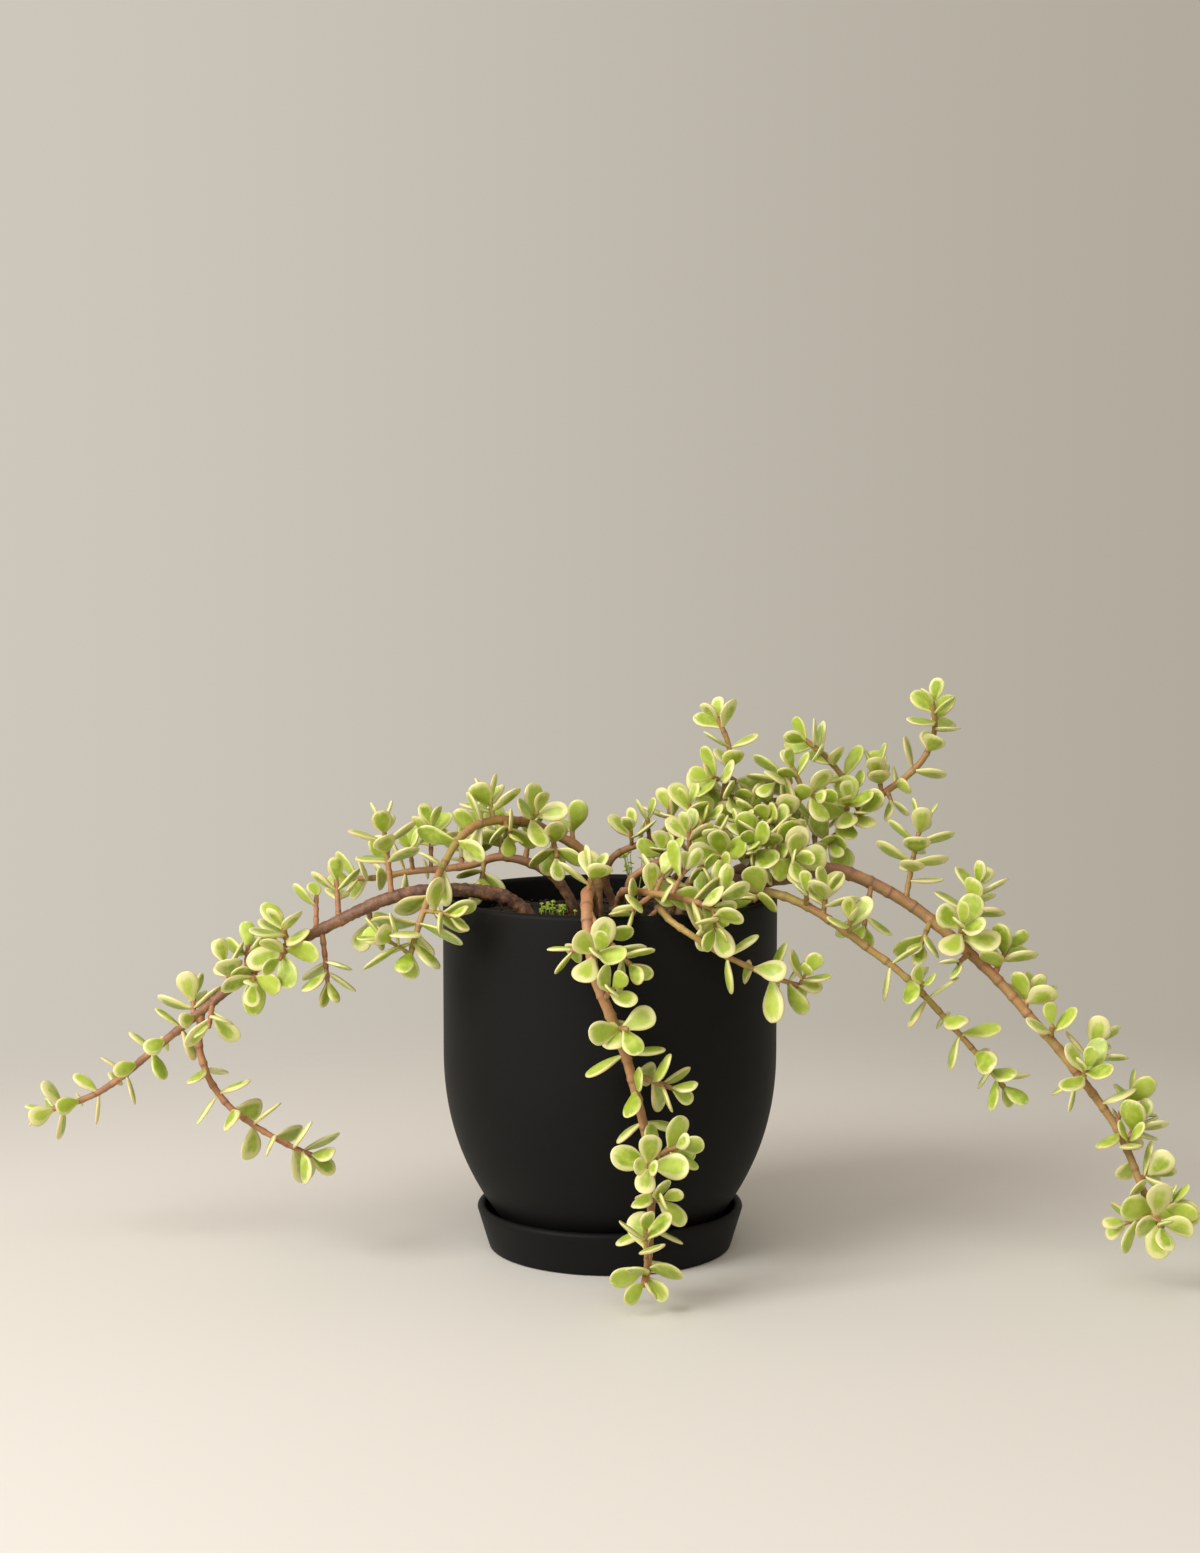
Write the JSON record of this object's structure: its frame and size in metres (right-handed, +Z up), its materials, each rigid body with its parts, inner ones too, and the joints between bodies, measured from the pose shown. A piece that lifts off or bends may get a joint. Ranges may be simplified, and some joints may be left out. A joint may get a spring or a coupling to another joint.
{
  "type": "elephant bush in a pot",
  "caption": "Trailing variegated elephant bush, a small-leaved succulent, in a plain matte black pot with a rounded base on a shallow saucer.",
  "frame": {"origin": "centre of the saucer's flat underside, on the surface the plant stands on", "axes": "+Z up along the pot's axis; the front of the plant faces -Y, with the longest trailing stems to -X and +X"},
  "size_m": [0.5434, 0.2094, 0.2736],
  "materials": {
    "pot_ceramic": "matte black glaze",
    "saucer_ceramic": "matte black glaze",
    "soil_mix": "rough, dark",
    "leaf_and_stem": "satin, green centre with cream edge"
  },
  "bodies": {
    "root": {"pot": "pot_ceramic", "saucer": "saucer_ceramic", "soil": "soil_mix", "stem_left_long": "leaf_and_stem", "stem_left_back": "leaf_and_stem", "stem_arch_left": "leaf_and_stem", "stem_front_hanging": "leaf_and_stem", "stem_front_right": "leaf_and_stem", "stem_front_thin": "leaf_and_stem", "stem_mid_upper": "leaf_and_stem", "stem_mid_lower": "leaf_and_stem", "stem_right_back": "leaf_and_stem", "stem_right_low": "leaf_and_stem", "stem_right_long": "leaf_and_stem", "stem_upper_right": "leaf_and_stem", "stem_centre_up": "leaf_and_stem"}
  },
  "joints": []
}
